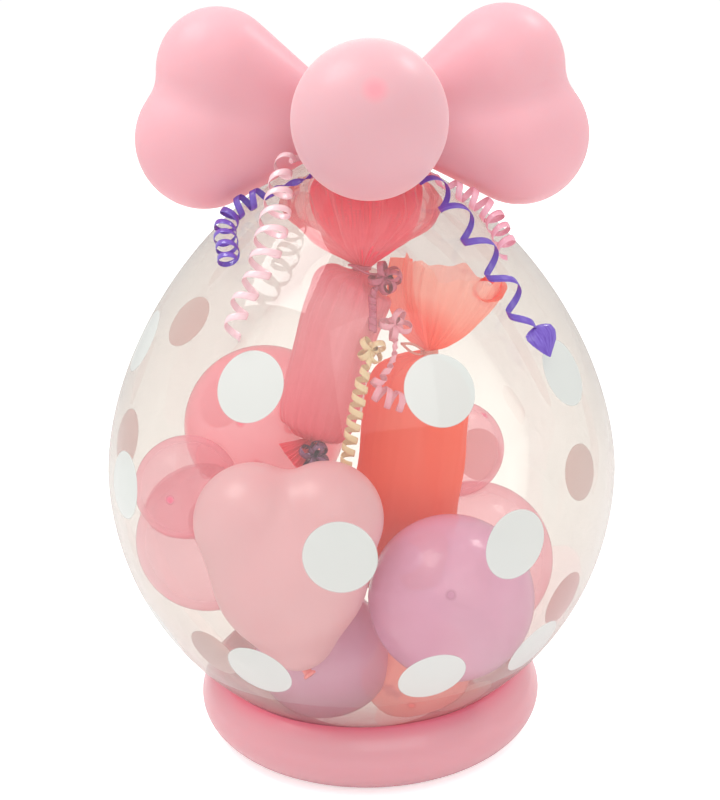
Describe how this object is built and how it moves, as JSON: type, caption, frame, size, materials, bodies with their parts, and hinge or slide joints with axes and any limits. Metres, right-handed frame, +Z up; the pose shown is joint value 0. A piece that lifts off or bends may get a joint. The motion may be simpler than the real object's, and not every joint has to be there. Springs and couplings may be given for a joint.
{
  "type": "bubble balloon",
  "caption": "Clear bubble balloon with white dots, on a ring balloon base, topped by a bow of heart balloons and a round balloon with curled ribbons.",
  "frame": {"origin": "on the floor, on the axis of the bubble", "axes": "+Z up through the neck; the front with the round balloon faces -Y, +X to the right seen from the front"},
  "size_m": [0.4148, 0.4148, 0.5918],
  "materials": {
    "bubble": "clear glossy latex film with printed white dots",
    "base_ring": "glossy pink latex",
    "heart_left": "soft gloss light pink latex",
    "heart_right": "soft gloss light pink latex",
    "ball_balloon": "soft gloss light pink latex, a little see-through",
    "ribbon_tie": "glossy purple curling ribbon",
    "ribbon_purple": "glossy purple curling ribbon",
    "ribbon_pink": "glossy pale pink curling ribbon"
  },
  "bodies": {
    "root": {"bubble": "bubble", "base_ring": "base_ring", "heart_left": "heart_left", "heart_right": "heart_right", "ball_balloon": "ball_balloon", "ribbon_tie": "ribbon_tie", "ribbon_purple_left": "ribbon_purple", "ribbon_purple_right": "ribbon_purple", "ribbon_pink_left": "ribbon_pink", "ribbon_pink_right": "ribbon_pink"}
  },
  "joints": []
}
